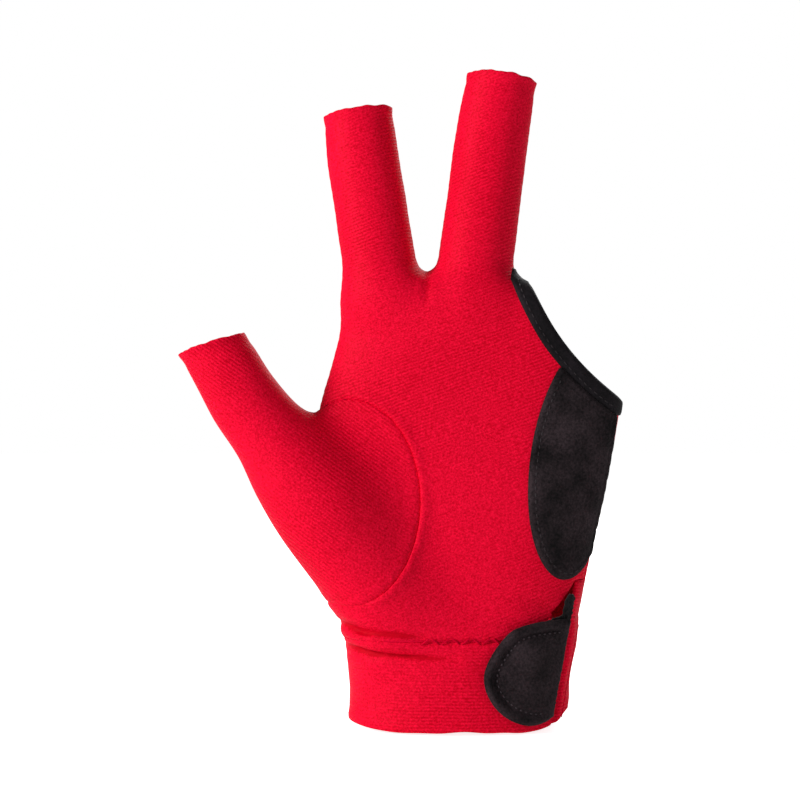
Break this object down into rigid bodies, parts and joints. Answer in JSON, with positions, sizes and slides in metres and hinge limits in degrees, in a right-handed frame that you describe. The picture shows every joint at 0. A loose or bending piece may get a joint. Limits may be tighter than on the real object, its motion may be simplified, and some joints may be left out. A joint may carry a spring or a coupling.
{
  "type": "billiard glove",
  "caption": "Three-finger open-tip billiard glove for the left hand: red stretch cloth, black edge binding, suede heel pad, hook-and-loop wrist tab",
  "frame": {"origin": "middle of the wrist opening, in the plane of the hem", "axes": "+Z from the wrist to the fingertips, -Y out of the palm, -X towards the thumb, +X towards the outer edge of the hand"},
  "size_m": [0.1301, 0.0455, 0.1937],
  "materials": {
    "red_cloth": "stretch knit with a soft satin sheen",
    "black_binding": "matt elastic tape",
    "black_suede": "matt brushed suede",
    "black_loop": "fuzzy loop pile"
  },
  "bodies": {
    "root": {"palm_panel": "red_cloth", "back_panel": "red_cloth", "thumb_panel": "red_cloth", "wrist_band": "red_cloth", "edge_binding": "black_binding", "heel_pad": "black_suede", "closure_tab": "black_suede", "loop_patch": "black_loop"}
  },
  "joints": []
}
